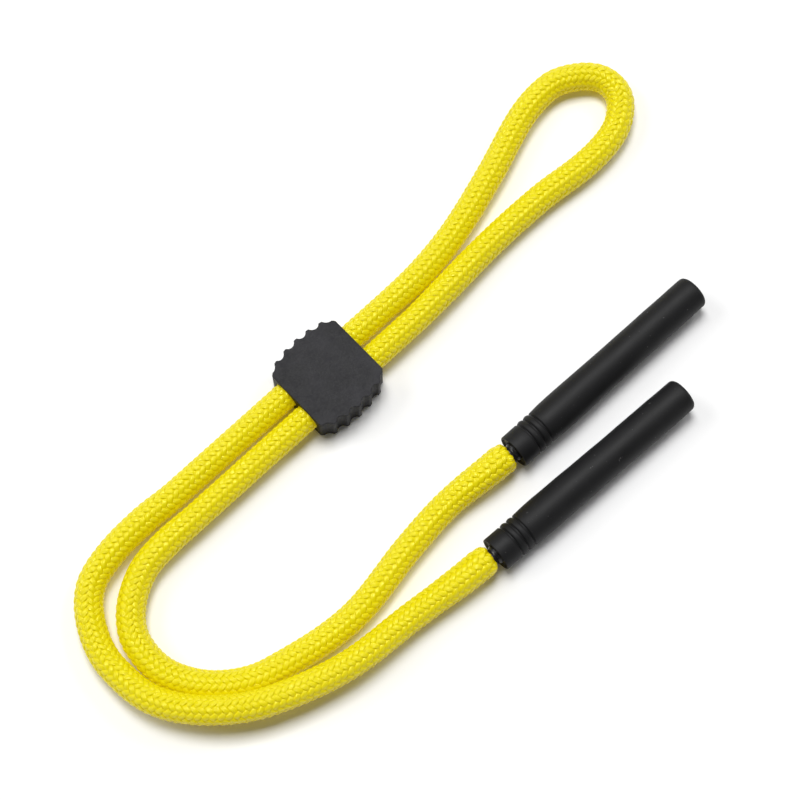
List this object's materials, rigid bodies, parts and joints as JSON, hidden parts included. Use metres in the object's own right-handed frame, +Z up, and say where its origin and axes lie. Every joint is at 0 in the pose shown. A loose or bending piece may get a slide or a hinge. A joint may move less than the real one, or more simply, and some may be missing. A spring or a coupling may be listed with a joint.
{
  "type": "eyeglass retainer strap",
  "caption": "Adjustable eyewear retainer strap: a braided cord doubled through a ribbed rubber slider, with a hollow rubber sleeve on each end that grips a spectacle temple.",
  "frame": {"origin": "centre of the slider's underside, on the surface that the strap lies on", "axes": "+X along the slider's cord holes towards the head loop, +Z up from the surface, and the temple sleeves lie on the -Y side pointing towards +X"},
  "size_m": [0.161, 0.0722, 0.0084],
  "materials": {
    "cord_cover": "bright lemon yellow polyester braid with a slight sheen",
    "cord_core": "off-white bundle of straight yarns",
    "slider_rubber": "charcoal moulded rubber, fine matt grain",
    "sleeve_rubber": "black silicone rubber, satin",
    "plug_nylon": "black moulded nylon",
    "ferrule_metal": "blackened crimped metal, glossy"
  },
  "bodies": {
    "cord": {"braided_cover": "cord_cover", "cord_core": "cord_core", "end_plug_a": "plug_nylon", "end_plug_b": "plug_nylon", "crimp_ferrule_a": "ferrule_metal", "crimp_ferrule_b": "ferrule_metal"},
    "slider": {"slider": "slider_rubber"},
    "sleeve_a": {"temple_sleeve_a": "sleeve_rubber"},
    "sleeve_b": {"temple_sleeve_b": "sleeve_rubber"}
  },
  "joints": [
    {"name": "slider_slide", "type": "slide", "parent": "cord", "child": "slider", "axis": [1, 0, 0], "range_m": [-0.029, 0.011]},
    {"name": "sleeve_a_swivel", "type": "hinge", "parent": "cord", "child": "sleeve_a", "pos_m": [0.016, -0.0364, 0.00385], "axis": [0.9998, -0.0175, 0], "continuous": true},
    {"name": "sleeve_b_swivel", "type": "hinge", "parent": "cord", "child": "sleeve_b", "pos_m": [-0.001, -0.0488, 0.00385], "axis": [0.999, -0.0436, 0], "continuous": true}
  ]
}
